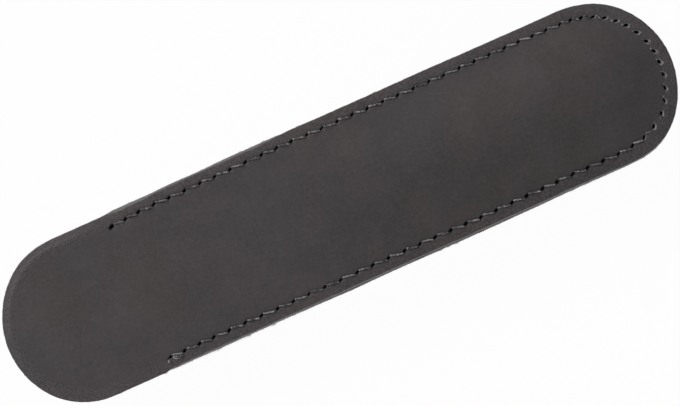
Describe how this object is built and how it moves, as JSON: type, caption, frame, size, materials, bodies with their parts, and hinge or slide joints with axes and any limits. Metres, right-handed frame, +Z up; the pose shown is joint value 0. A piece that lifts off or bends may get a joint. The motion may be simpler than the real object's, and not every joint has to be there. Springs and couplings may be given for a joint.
{
  "type": "single pen sleeve",
  "caption": "Slim leather sleeve for one pen, stitched in a U from two panels, with a rounded bare tongue past the open mouth of the pocket.",
  "frame": {"origin": "on the ground under the middle of the sleeve's length and width", "axes": "+X along the sleeve from the tongue to the closed end, +Y across it, +Z up, away from the belly on which the sleeve rests"},
  "size_m": [0.165, 0.0388, 0.0131],
  "materials": {
    "leather": "matte drum-dyed charcoal leather with raw cut edges",
    "thread": "waxed black polyester thread with a soft shine"
  },
  "bodies": {
    "sleeve": {"back_panel": "leather", "front_panel": "leather", "needle_thread": "thread", "bobbin_thread": "thread"},
    "tongue": {"tongue": "leather"}
  },
  "joints": [
    {"name": "tongue_flex", "type": "hinge", "parent": "sleeve", "child": "tongue", "pos_m": [-0.0558, 0, 0.0117], "axis": [0, 1, 0], "range_deg": [-45, 60], "stiffness_Nm_per_rad": 0.03}
  ]
}
